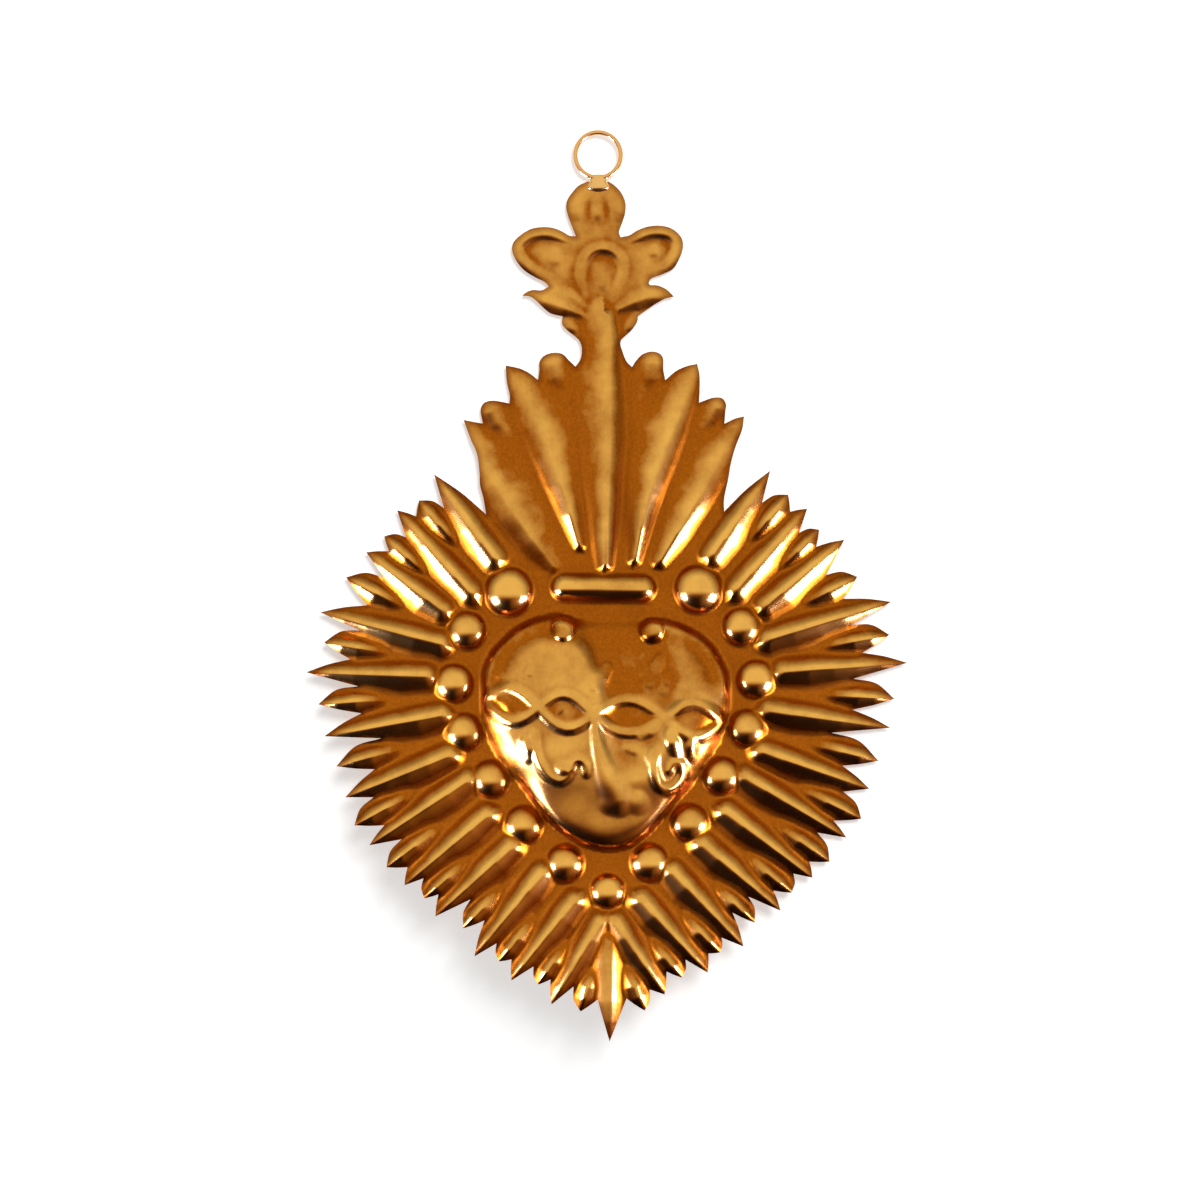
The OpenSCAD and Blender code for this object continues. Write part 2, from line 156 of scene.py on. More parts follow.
# %% Flames, flower and the whole edge
LEFT_TOP = [
    [(592, 182), (583.5, 186), (576.5, 193.5), (572, 200.5), (570.8, 208), (572.7, 217), (576.6, 228),
     (579.9, 236.5)],
    [(579.9, 236.5), (573.5, 236), (566, 231.7), (556.7, 228.2), (546, 227.5), (535, 229.4), (524.5, 235.6),
     (517.6, 242.5), (515.8, 251), (520, 261.6), (527.6, 270.8), (538.3, 277.7), (547.5, 282.3),
     (551.8, 287)],
    [(551.8, 287), (544.4, 290.7), (536, 290.4), (530, 292.2), (524.8, 296)],
    [(524.8, 296), (533, 297.1), (539, 301.4), (546, 308.3), (552.8, 313.7), (561, 316), (565, 316.7)],
    [(565, 316.7), (564.3, 324.4), (569, 330.5), (576.6, 336.6), (581.2, 341.2), (583.5, 349), (582, 359.5),
     (576.8, 367)],
    [(576.8, 367), (570.5, 361), (564, 354.5), (555, 353.2), (546, 356), (541, 362), (540.5, 371),
     (539, 380.5)],
    [(539, 380.5), (531, 374), (521, 369), (507, 366)],
    [(507, 366), (507.8, 382), (510.5, 396), (510, 404)],
    [(510, 404), (503, 402.5), (493, 401.2), (484.5, 403.5), (481, 411), (483, 424)],
    [(483, 424), (474, 422.5), (463.8, 420.5)],
    [(463.8, 420.5), (470.5, 439.5), (477, 455), (479.4, 473), (480, 486), (483.2, 498.5), (486, 515)],
]
RIGHT_TOP = [
    [(724, 512), (724, 499), (728, 480), (731, 463), (735.5, 447), (742, 430), (744.2, 416.7)],
    [(744.2, 416.7), (735, 419), (724.5, 424)],
    [(724.5, 424), (725.5, 413), (726.5, 404.5), (722.5, 398.5), (714, 398), (706, 400.5), (699.5, 403)],
    [(699.5, 403), (700.5, 388), (700.5, 375), (698.5, 364.3)],
    [(698.5, 364.3), (688, 366.5), (677, 371.5), (666.3, 380.5)],
    [(666.3, 380.5), (664.5, 370), (664.5, 359), (660.5, 353.5), (652, 352), (643.5, 355), (637.5, 361),
     (633.3, 367.5)],
    [(633.3, 367.5), (627.5, 361), (623.5, 350), (622.1, 344.3), (623.3, 339.7), (628.6, 335), (634.8, 329),
     (639.4, 322), (640.1, 316.7)],
    [(640.1, 316.7), (644, 313.7), (653, 307.5), (660.8, 302.6), (668.5, 298.7), (676.6, 297)],
    [(676.6, 297), (673, 293), (668.5, 289.2), (660.8, 285.8), (653, 285.3), (651.6, 283)],
    [(651.6, 283), (654.7, 278.5), (665.4, 274.6), (676, 269.3), (681.5, 261.6), (685.6, 252.4),
     (686.8, 243.2), (683.8, 235.6), (676, 229), (665.4, 226), (653, 226.7), (642.4, 230.2), (633.2, 235.6),
     (624.5, 237.5)],
    [(624.5, 237.5), (623, 232), (626.3, 223.3), (629.4, 214), (630.2, 205), (628.6, 198), (624.8, 191.2),
     (618.7, 185), (614, 182)],
]
bottom = [at([LEFT_NOTCHES[-1], BOTTOM_TIP]), at([BOTTOM_TIP, RIGHT_NOTCHES[-1]])]
runs = [smooth_line(at(run)) for run in LEFT_TOP] + burst_left
runs += [smooth_line(run) for run in bottom] + burst_right
runs += [smooth_line(at(run)) for run in RIGHT_TOP + [[RIGHT_TOP[-1][-1], LEFT_TOP[0][0]]]]
edge = np.concatenate([run[:-1] for run in runs])
print("the cut edge has", len(edge), "points, x", edge[:, 0].min().round(2), "to", edge[:, 0].max().round(2))

# %% [markdown]
# ## Measuring from lines
# All the relief is worked out from how far a point lies from a few lines: the crest of a ray, the
# middle of a strand, or the outline of the heart. These helpers give that distance for every point at
# once, and they loop only over the few pieces of the line.

# %% Distances
def near_path(p, path):
    """For each point: its distance from a bent line, +1 or -1 for its side (+1 is at the left hand of one
    who walks the line), and the share of the line's length at its nearest place. On a piece from a to b
    the nearest place is at the share (p - a).(b - a) / |b - a|^2, kept between 0 and 1."""
    a, way = path[:-1], np.diff(path, axis=0)
    run = np.linalg.norm(way, axis=1)
    start = np.concatenate([[0], np.cumsum(run)])
    best, side, share = np.full(len(p), 1e9), np.zeros(len(p)), np.zeros(len(p))
    for i in range(len(a)):
        d = p - a[i]
        t = np.clip(d @ way[i] / run[i] ** 2, 0, 1)
        off = np.hypot(d[:, 0] - t * way[i, 0], d[:, 1] - t * way[i, 1])
        closer = off < best
        best[closer] = off[closer]
        side[closer] = np.sign(way[i, 0] * d[closer, 1] - way[i, 1] * d[closer, 0])
        share[closer] = (start[i] + t[closer] * run[i]) / start[-1]
    return best, side, share


def inside_by(p, loop, reach=12.0):
    """Distance from a closed line, positive inside it, and no more than reach. A point is inside where a
    ray from it to the right crosses the line an odd number of times. The points are sorted by height
    first, so that each piece of the line meets only the ones beside it."""
    closed = np.concatenate([loop, loop[:1]])
    order = np.argsort(p[:, 1])
    x, z = p[order].T
    odd, best = np.zeros(len(p), bool), np.full(len(p), reach * reach)
    for (ax, az), (bx, bz) in zip(closed, closed[1:]):
        low, high = min(az, bz), max(az, bz)
        i, j = np.searchsorted(z, [low, high], side="right")
        if j > i:
            odd[i:j] ^= x[i:j] < (z[i:j] - az) / (bz - az) * (bx - ax) + ax
        i, j = np.searchsorted(z, [low - reach, high + reach])
        dx, dz, wx, wz = x[i:j] - ax, z[i:j] - az, bx - ax, bz - az
        t = np.clip((dx * wx + dz * wz) / (wx * wx + wz * wz), 0, 1)
        best[i:j] = np.minimum(best[i:j], (dx - t * wx) ** 2 + (dz - t * wz) ** 2)
    inside = np.empty(len(p))
    inside[order] = np.where(odd, 1, -1) * np.sqrt(best)
    return inside


# %% [markdown]
# ## Forms that the stamp pushes up
# There are three kinds: folds with a crest, like the rays and flames, round beads, and soft strands and
# drops on the heart and petals. Each is a height in millimetres over the flat sheet. Where two forms
# meet, metal can't follow a sharp inner corner, so the heights are joined with a small fillet.

# %% Easing and joining
def eased(t):
    """From 0 to 1 with soft ends: 3 t^2 - 2 t^3."""
    t = np.clip(t, 0, 1)
    return t * t * (3 - 2 * t)


def blend(a, b, soft):
    """The higher of two heights with a fillet: where they differ by less than soft, the square of what is
    left of soft, over four times soft, is added."""
    return np.maximum(a, b) + np.maximum(soft - np.abs(a - b), 0) ** 2 / (4 * soft)


print("a fillet of 0.3 adds", round(blend(1.0, 1.0, 0.3) - 1, 3), "mm where two heights are equal")

# %% Folds, beads and strands
def fold(p, path, rise, left, right, crest=(0.75, 0.25)):
    """A fold along a line. Its height falls evenly from the crest to nothing at the half width, and the
    crest is rounded: rise * (1 - (sqrt(d^2 + crest^2) - crest) / half width). The two values of crest
    are for the two ends of the line."""
    d, side, share = near_path(p, path)
    crest = crest[0] + (crest[1] - crest[0]) * share
    knots = np.linspace(0, 1, len(rise))
    half = np.where(side > 0, np.interp(share, knots, left), np.interp(share, knots, right))
    return np.interp(share, knots, rise) * (1 - (np.sqrt(d * d + crest * crest) - crest) / half)


def bead(p, spot, r, rise):
    """A ball's cap that stands rise high over a circle of radius r. The ball's own radius is
    (r^2 + rise^2) / (2 rise)."""
    ball = (r * r + rise * rise) / (2 * rise)
    d2 = ((p - spot) ** 2).sum(1)
    return np.sqrt(np.maximum(ball**2 - d2, 0)) - (ball - rise)


def strand(p, path, radii, rises, foot=1):
    """A soft strand or drop along a line: rise * (1 - (d / radius)^2)^foot, and nothing beyond its
    radius. A foot over 1 makes it run out softly. Radius and rise change along the line."""
    d, _, share = near_path(p, path)
    r = np.interp(share, np.linspace(0, 1, len(radii)), radii)
    rise = np.interp(share, np.linspace(0, 1, len(rises)), rises)
    return rise * np.clip(1 - (d / r) ** 2, 0, 1) ** foot


# %% [markdown]
# ## The rays
# Long and short rays take turns. A long one starts with a blunt nose beside the beads and runs out to
# its tip. A short one rises half way out, from the valley between two long ones. Low skirts join the
# long rays, and meet in the faint fold down the middle of each valley. Wedges could be cut for them, but
# pressed metal has no hard inner corner, so each ray is a height that falls off from its crest.

# %% Crests of the rays
# The noses of the long rays on the right, in millimetres. The left ones are their mirror image
NOSES = np.array([
    (15.8, -58.2), (19.3, -63.1), (23.5, -65.5), (23.9, -70.4), (26.0, -75.1), (23.8, -80.8), (22.8, -86.7),
    (20.3, -90.4), (17.4, -95.4), (14.0, -100.1), (9.6, -104.0), (5.0, -108.1), (1.2, -111.2),
])
BOTTOM_NOSE = np.array([0.0, -114.0])
MIRROR = np.array([-1, 1])
# Along a ray, from nose to tip: its rise, and its half widths on the upper and the lower side
LONG_RISE = np.array([1.7, 1.95, 1.85, 1.6, 1.15, 0.45])
LONG_UPPER = np.array([1.9, 2.0, 1.95, 1.8, 1.4, 0.8])
LONG_LOWER = np.array([2.3, 2.75, 2.65, 2.3, 1.65, 0.65])
SHORT_RISE = np.array([0.1, 0.9, 1.4, 1.25, 0.45])
SHORT_UPPER = np.array([0.7, 1.2, 1.4, 1.3, 0.7])
SHORT_LOWER = np.array([0.7, 1.5, 2.0, 1.8, 0.75])
# A short ray starts at this share of the way from the valley's root to its tip
SHORT_START = 0.36
# A skirt's rise, as a share of its ray's, and its half widths along the ray
SKIRT, SKIRT_HALF = 0.24, np.array([4.0, 4.6, 4.7, 4.4, 3.4, 1.8])

folds = []
for tips, noses, order in ((LEFT_TIPS, NOSES * MIRROR, -1), (RIGHT_TIPS, NOSES, 1)):
    # Walking outwards, the lower side is at the left hand on the left half, and at the right on the right
    tips = at(tips)
    long_sides, short_sides = (LONG_UPPER, LONG_LOWER)[::order], (SHORT_UPPER, SHORT_LOWER)[::order]
    for i, nose in enumerate(noses):
        folds.append((np.array([nose, tips[2 * i]]), LONG_RISE, *long_sides))
        next_nose = noses[i + 1] if i + 1 < len(noses) else BOTTOM_NOSE
        root, tip = (nose + next_nose) / 2, tips[2 * i + 1]
        folds.append((np.array([root + (tip - root) * SHORT_START, tip]), SHORT_RISE, *short_sides))
# The bottom ray is lower than the other long ones, and broader on its left
bottom_crest = np.array([BOTTOM_NOSE, at([BOTTOM_TIP])[0]])
folds.append((bottom_crest, LONG_RISE * 0.85, LONG_LOWER * 0.8, LONG_LOWER * 1.25))
rays = folds[::2]
print(len(folds), "rays,", len(rays), "of them long")

# %% [markdown]
# ## Flames
# A middle flame carries the flower's stem. Two flames stand on each side of it, with small round lobes
# between them. Their crests are off the middle, so the two sides of a flame differ in width. They are made
# as the rays are, only along bent lines.

# %% Crests of the flames
# Each flame is a line of the photograph from its tip down, its rises, and its half widths at the left
# and the right hand of one who walks down it. Each lobe is a line and a radius
FLAMES = [
    ([(608, 319), (610, 345), (608.5, 380), (608, 430), (607, 480), (606, 530), (605.5, 566)],
     (1.1, 1.4, 1.8, 2.0, 2.0, 1.8, 1.2), (1.2, 1.5, 2.2, 2.4, 2.2, 1.8, 1.2),
     (3.2, 4.2, 4.6, 4.5, 4.0, 2.8, 1.6)),
    ([(508, 369), (520, 386), (534, 410), (546, 437), (560, 478), (571, 515), (579, 545)],
     (0.4, 0.9, 1.3, 1.5, 1.6, 1.5, 0.9), (0.8, 2.6, 4.2, 4.2, 3.0, 2.0, 1.2),
     (1.0, 2.6, 3.2, 3.0, 2.5, 1.8, 1.0)),
    ([(698, 367), (690, 380), (680, 402), (669, 431), (657, 465), (644, 512), (635, 560)],
     (0.5, 1.2, 1.7, 1.9, 1.9, 1.7, 1.0), (1.0, 1.8, 2.4, 2.6, 2.2, 1.6, 1.0),
     (1.2, 3.0, 4.4, 4.6, 3.6, 2.2, 1.3)),
    ([(465, 423), (473, 440), (486, 465), (508, 503), (532, 538), (554, 567)],
     (0.4, 0.9, 1.2, 1.2, 1.0, 0.6), (1.1, 2.8, 4.2, 4.2, 3.0, 1.6), (1.2, 2.6, 3.8, 3.8, 3.0, 1.8)),
    ([(743, 420), (732, 436), (718, 456), (701, 490), (679, 529), (660, 561)],
     (0.4, 0.9, 1.3, 1.5, 1.6, 1.0), (1.0, 1.9, 2.6, 2.6, 2.2, 1.4), (1.1, 2.8, 4.2, 4.2, 3.0, 1.6)),
]
LOBES = [
    ([(555, 364), (557, 373), (562, 392)], 2.4), ([(492, 411), (497, 420), (506, 436)], 2.1),
    ([(652.5, 363), (651, 372), (646, 392)], 2.4), ([(716, 407), (711, 416), (702, 433)], 2.1),
]
for path, rise, left, right in FLAMES:
    folds.append((smooth_line(at(path), 2), rise, left, right))
lobes = [(smooth_line(at(path), 1), r) for path, r in LOBES]
print(len(FLAMES), "flames and", len(lobes), "lobes")

# %% [markdown]
# ## The heart
# The heart is a broad dome with round shoulders. A wide valley parts its two lobes, each lobe has a thin
# raised rim that curls into a bead at its inner end, and a crown of two crossing strands lies across it.
#
# A flattened ball could make the dome, but none fits this outline. Here it is a skin, held at the outline
# and blown up. It is worked out once, on a small chart of spots, and then looked up for any point.

# %% Outline, valley and crown
HEART = [
    (580, 621), (568.4, 616), (552, 614), (531.6, 619), (509, 631.4), (491, 650), (481.6, 670),
    (479.6, 690.6), (480.6, 711), (485.7, 731.4), (495, 754), (510, 774), (523.5, 790), (537.8, 811),
    (556, 831), (576.5, 844), (597, 851), (613.3, 851.8), (629.6, 848), (646, 838), (660, 823),
    (674.5, 805), (689, 788.6), (703, 768), (715, 750), (723.5, 731), (728.6, 711), (730.6, 690.6),
    (727.6, 670), (717, 650), (703, 635.5), (684.7, 625.3), (664, 619), (648, 617), (640, 622),
]
VALLEY = [
    (574, 590), (574, 616), (584, 644), (593, 663), (600, 684), (604, 700), (606, 730), (612, 756),
    (626, 772), (642, 768), (650, 748), (664, 732), (676, 700), (676, 668), (672, 650), (660, 636),
    (643, 616), (642, 590),
]
# The share of the dome that the valley takes away, at these distances below the ring
VALLEY_SHARE, VALLEY_AT = np.array([0.82, 0.62, 0.45, 0.3, 0.2]), np.array([63, 68, 76, 84, 92])
# The crown's strands cross in the nodes, and in between they part by WAVE to each side
NODES = at([(483, 701), (538, 708), (593, 715), (664, 718), (724, 723)])
WAVE = 2.45
heart_edge = smooth_line(at(HEART), 1.2)
print("the heart is", np.ptp(heart_edge, axis=0).round(1), "mm wide and tall")

# %% Charts over the heart
# One value every CHART millimetres: the distance from the heart's edge, the dome and the valley
CHART = 0.5
BLOWN_ROUNDS, SOFT_ROUNDS = 5000, 9
chart_low = heart_edge.min(0) - 3 * CHART
chart_size = np.ceil((heart_edge.max(0) + 3 * CHART - chart_low) / CHART).astype(int) + 1
chart_axes = (chart_low[k] + np.arange(chart_size[k]) * CHART for k in (0, 1))
spots = np.stack(np.meshgrid(*chart_axes, indexing="ij"), -1).reshape(-1, 2)


def beside(chart):
    """The sum of the four spots beside each spot."""
    return np.roll(chart, 1, 0) + np.roll(chart, -1, 0) + np.roll(chart, 1, 1) + np.roll(chart, -1, 1)


inner_chart = inside_by(spots, heart_edge).reshape(chart_size)
held = inner_chart <= 0
dome_chart = np.zeros(chart_size)
for _ in range(BLOWN_ROUNDS):
    # Each free spot of the skin is the mean of its four neighbours and a little more
    dome_chart = np.where(held, 0, beside(dome_chart) / 4 + 1)
dome_chart /= dome_chart.max()
in_valley = inside_by(spots, smooth_line(at(VALLEY), 1.2)).reshape(chart_size) > 0
valley_chart = in_valley.astype(float)
for _ in range(SOFT_ROUNDS):
    valley_chart = valley_chart / 5 + beside(valley_chart) / 5
print("three charts of", chart_size, "spots")


# %% Reading the charts, and the crown's strands
def off_chart(chart, p):
    """The value of a chart at each point, between the four spots round it."""
    at_spot = np.clip((p - chart_low) / CHART, 0, chart_size - 1.001)
    i, j = at_spot.astype(int).T
    f, g = (at_spot - np.floor(at_spot)).T
    left = chart[i, j] * (1 - g) + chart[i, j + 1] * g
    right = chart[i + 1, j] * (1 - g) + chart[i + 1, j + 1] * g
    return left * (1 - f) + right * f


def crown_strand(turn):
    """One strand of the crown: a wave through the nodes, up in one gap and down in the next. In a gap it
    stands off the straight line by WAVE * sin(180 degrees * share)."""
    t = np.linspace(0, 1, 9)[:-1, None]
    line = []
    for i, (a, b) in enumerate(zip(NODES, NODES[1:])):
        line.append(a + (b - a) * t + np.array([0, 1]) * turn * (-1) ** i * WAVE * np.sin(np.pi * t))
    return np.concatenate(line + [NODES[-1:]])


crown = [crown_strand(1), crown_strand(-1)]
print("each strand of the crown has", len(crown[0]), "points")


# %% Marks on the heart
# Each mark is a line of the photograph, the radii along it, and its rise over the heart.
MARKS = [
    ([(533, 735), (536, 752), (540, 765), (548, 776), (560, 781), (569, 776)],
     (0.75, 0.6, 0.6, 0.6, 0.55, 0.4), 0.5),
    ([(571, 770), (573, 762), (579, 759), (585, 764), (586, 773)], (0.5, 0.55, 0.6, 0.6, 0.5), 0.45),
    ([(564, 770), (566, 768)], (0.9, 0.9), 0.5),
    ([(527, 742), (529, 758)], (0.8, 0.6), 0.45),
    ([(652, 754), (654, 772), (659, 786), (668, 789.5), (677, 785), (682.5, 775), (680.5, 765), (674, 763),
      (670, 771)], (0.9, 0.6, 0.6, 0.6, 0.6, 0.6, 0.6, 0.6, 0.5), 0.5),
    ([(669.5, 732), (675.5, 753)], (0.9, 0.6), 0.55),
    ([(690.8, 738), (691.8, 757)], (0.7, 0.5), 0.5),
    ([(656, 725), (640, 736)], (0.9, 0.8), 0.5),
    ([(627, 747), (642, 752)], (0.7, 0.9), 0.35),
    ([(607, 668), (596, 684)], (0.7, 1.0), 0.5),
    ([(660, 659), (650, 680)], (0.7, 1.1), 0.55),
    ([(667, 675), (663, 688)], (0.6, 0.9), 0.5),
    ([(529, 670), (528, 678)], (0.6, 1.0), 0.35),
    ([(498, 670), (497.5, 680)], (0.5, 0.9), 0.35),
    ([(561, 709), (563, 711)], (0.8, 0.8), 0.3),
    ([(500, 698), (516, 712)], (0.7, 1.2), 0.35),
]
marks = [(smooth_line(at(path), 0.9), radii, rise) for path, radii, rise in MARKS]
BAND_RADII = (0.9, 1.4, 1.9, 2.5, 2.8)
band = smooth_line(at([(594, 720), (597, 742), (602, 762), (610, 784), (618, 800)]), 1.2)
volutes = at([(563, 629), (651, 631)])
swells = list(zip(at([(637, 803), (609, 804)]), (1.7, 1.5)))
print(len(marks), "marks,", len(volutes), "volutes and", len(swells), "swells on the heart")

# %% Height of the heart
HEART_RISE, BULGE = 4.3, 2.5
# The tip: how far below the ring it starts and over what length, the shares of its flat face and of the
# skin, and the roundness of its shoulder
TIP_FROM, TIP_OVER = 89.0, 8.5
TIP_FACE, TIP_SKIN, TIP_SHOULDER = 0.6, 0.32, 0.7
# The lobes' rim and the groove inside it: height, distance from the heart's edge, and width
RIM, GROOVE = (0.4, 1.1, 0.6), (-0.28, 2.6, 1.1)
CROWN_FADE = 3
MARK_SPREAD, MARK_FADE = 2.2, np.array([1.3, 1.5, 1.0])


def above_crown(p):
    """1 above the crown, 0 below it, and even in between, over CROWN_FADE."""
    return np.clip((p[:, 1] - NODES[0, 1]) / CROWN_FADE, 0, 1)


def ridge(inner, high, middle, width):
    """A ridge along the heart's edge: high * exp(-((inner - middle) / width)^2)."""
    return high * np.exp(-((inner - middle) / width) ** 2)


def heart_height(p):
    """The dome is HEART_RISE * (1 - exp(-BULGE u)) / (1 - exp(-BULGE)), u being the skin's height, so that
    its shoulders are steep and its face is flatter. Towards the tip it eases over to a flat face with a
    round shoulder. The valley takes its share off it, and the strands and marks are added on top."""
    inner, skin, valley = (off_chart(chart, p) for chart in (inner_chart, dome_chart, valley_chart))
    dome = HEART_RISE * (1 - np.exp(-BULGE * skin)) / (1 - np.exp(-BULGE))
    tip = eased((-p[:, 1] - TIP_FROM) / TIP_OVER)
    face = TIP_FACE * (1 - np.exp(-np.maximum(inner, 0) / TIP_SHOULDER))
    dome = dome * (1 - tip) + tip * HEART_RISE * (face + TIP_SKIN * skin)
    dome *= 1 - np.interp(-p[:, 1], VALLEY_AT, VALLEY_SHARE) * valley
    dome += above_crown(p) * (1 - valley) * (ridge(inner, *RIM) + ridge(inner, *GROOVE))
    top = np.zeros(len(p))
    for path in crown:
        top = blend(top, strand(p, path, (1.35, 1.35), (0.58, 0.58), 1.3), 0.2)
    for path, radii, rise in marks:
        top = blend(top, strand(p, path, np.array(radii) * MARK_SPREAD, rise * MARK_FADE, 1.6), 0.2)
    top = blend(top, strand(p, band, BAND_RADII, (0.75, 0.75), 1.3), 0.25)
    for spot in volutes:
        top = blend(top, bead(p, spot, 2.0, 1.5), 0.3)
    for spot, r in swells:
        top = blend(top, bead(p, spot, r, r * 0.22), 0.4)
    # The marks fade out where the dome runs down to the sheet
    return dome + top * np.clip(dome / 0.8, 0, 1)


print("the heart stands", heart_height(spots).max().round(2), "mm over the sheet")

# %% [markdown]
# ## The flower
# Each petal has a rolled rim round it and a drop in its middle. They could be sculpted by hand, but here
# a line with a few radii and one rise says the same in a few numbers, so the crown's soft strands make
# both. The leaves below are small folds, like the flames.

# %% Rims, drops and leaves of the flower
# Each strand is a line of the photograph, the radii along it, and its rise. Each leaf is like a flame
FLOWER = [
    ([(577, 243), (566, 238.5), (556, 234.5), (545.5, 233.5), (535, 235.5), (526.5, 240.5), (521.5, 248),
      (522.5, 256), (528.5, 264), (538, 271), (549, 277.5), (560, 284), (570, 292)],
     (0.6, 0.95, 1.0, 1.0, 1.0, 0.95, 0.6), 0.95),
    ([(546, 253), (556, 256.5), (571, 264)], (1.6, 1.5, 0.6), 0.65),
    ([(629, 243), (640, 238), (652, 233), (664, 232), (675, 235), (681, 243), (680, 252), (676, 260),
      (668, 267), (657, 271.5), (649, 276)], (0.6, 0.95, 1.0, 1.0, 1.0, 0.95, 0.6), 0.95),
    ([(664, 249.5), (647, 254)], (1.2, 0.9), 0.6),
    ([(592, 193), (583, 201), (580.5, 212), (584, 226)], (0.9, 1.25, 1.25, 0.7), 0.9),
    ([(612, 193), (620, 201), (622, 212), (618, 226)], (0.9, 1.25, 1.25, 0.7), 0.9),
    ([(601.5, 203), (602, 224)], (0.9, 1.05), 0.85),
    ([(589, 296), (584.5, 283), (584, 270), (589, 257), (598, 249.5), (608, 248), (618, 251), (625, 260),
      (626, 272), (620, 286), (611, 297)], (0.5, 0.8, 0.95, 0.95, 0.95, 0.8, 0.5), 1.0),
    ([(605, 271), (606, 296)], (1.35, 0.8), 0.75),
    ([(568, 322.5), (581, 334)], (0.95, 0.7), 0.75),
    ([(637, 320.5), (627, 333)], (0.95, 0.7), 0.75),
]
LEAVES = [
    ([(526.5, 295.7), (545, 299.5), (564, 306), (586, 315)],
     (0.2, 0.55, 0.6, 0.4), (1.0, 1.9, 1.9, 1.0), (0.6, 1.5, 1.8, 1.0)),
    ([(550, 288.5), (572, 296), (590, 308)], (0.2, 0.5, 0.3), (0.8, 1.2, 0.8), (0.8, 1.0, 0.8)),
    ([(675, 296.5), (656, 295.5), (640, 300), (621, 309)],
     (0.2, 0.55, 0.6, 0.4), (0.6, 1.5, 1.8, 1.0), (1.0, 1.9, 1.9, 1.0)),
]
flower = [(smooth_line(at(path), 0.9), radii, rise) for path, radii, rise in FLOWER]
# The share of its rise that a strand of the flower has, from its start to its end
FADED = np.array([0.2, 0.5, 0.56, 0.5, 0.32, 0.05])
for path, rise, left, right in LEAVES:
    folds.append((smooth_line(at(path), 1.5), rise, left, right))
print(len(flower), "strands and", len(LEAVES), "leaves in the flower")

# %% [markdown]
# ## The whole relief
# Beads frame the heart, with a bar above it. All the forms come together here, as one height for each
# point of the sheet. Last come slow waves of a few hundredths of a millimetre, because no hand-struck
# sheet is quite even.

# %% Beads, bar and waves
# A bead is its middle, its radius and its rise: six pairs, a larger pair at the top, one at the bottom
BEADS = np.array([(20.0, -68.6), (22.0, -76.3), (20.6, -83.4), (16.8, -90.3), (12.1, -97.0), (6.2, -102.7)])
beads = [(spot * side, 3.05, 1.85) for spot in BEADS for side in (MIRROR, np.ones(2))]
beads += [(np.array([13.8 * s, -63.1]), 3.75, 2.35) for s in (-1, 1)] + [(np.array([0, -106.9]), 2.85, 1.75)]
BAR = np.array([(-5.6, -62.6), (5.6, -62.9)])
BAR_RADIUS, BAR_RISE = 2.3, 1.7
UNEVEN = 0.02
rng = np.random.default_rng(7)
waves = rng.uniform(0.35, 1.1, (7, 2)) * rng.choice([-1, 1], (7, 2))
phases = rng.uniform(0, 2 * np.pi, 7)
print(len(beads), "beads and one bar")

# %% Height of the sheet
WINDOW = 6.0


def near(p, path):
    """Which points lie in the box round a line, with a margin of WINDOW."""
    low, high = path.min(0) - WINDOW, path.max(0) + WINDOW
    return ((p > low) & (p < high)).all(1)


def join(h, p, soft, form, path, *values):
    """Join a form along a line to the heights h of the points near it, with a fillet of this softness."""
    i = near(p, path)
    h[i] = blend(h[i], form(p[i], path, *values), soft)


def height(p):
    """Height of the pressed sheet's front over its flat, in millimetres, at points (x, z)."""
    h = np.zeros(len(p))
    for path, *shape in folds:
        join(h, p, 0.25, fold, path, *shape)
    for path, rise, *_ in rays:
        join(h, p, 0.12, fold, path, rise * SKIRT, SKIRT_HALF, SKIRT_HALF, (0.6, 0.6))
    for path, r in lobes:
        join(h, p, 0.3, strand, path, (r, r, r * 0.7), (0.7, 0.45, 0.05), 1.6)
    for path, radii, rise in flower:
        join(h, p, 0.2, strand, path, np.array(radii) * 1.4, rise * FADED, 1.4)
    for spot, *shape in beads:
        join(h, p, 0.3, bead, spot[None], *shape)
    join(h, p, 0.25, strand, BAR, (BAR_RADIUS, BAR_RADIUS), (BAR_RISE, BAR_RISE))
    i = near(p, heart_edge)
    h[i] = blend(h[i], heart_height(p[i]), 0.35)
    # The mean of seven waves is about a third of one wave, so the 3 brings it back to UNEVEN
    return h + UNEVEN * np.sin(p @ waves.T + phases).mean(1) * 3


print("a bead's top stands", height(BEADS[:1])[0].round(2), "mm over the flat")

# %% [markdown]
# ## A mesh that follows the crests
# The height is a function of x and z, so any flat mesh can carry it. A plain square grid would leave
# saw teeth on the slanting crests. Here the flat mesh is a net of triangles between the points of the
# edge, rows of points along both sides of every crest, and a grid of points in between.

# %% Points and triangles of the plan
# The rows beside a crest, and the distance of rows of even triangles with sides of 1
CREST_ROWS = np.array([-0.42, -0.18, 0, 0.18, 0.42])
ROW = 0.866


def rows_along(path, offsets, step):
    """Rows of points beside a line, at the given distances from it, one point every step."""
    line = smooth_line(path, step)
    way = np.gradient(line, axis=0)
    side = np.stack([-way[:, 1], way[:, 0]], 1) / np.linalg.norm(way, axis=1)[:, None]
    return np.concatenate([line + side * k for k in offsets])


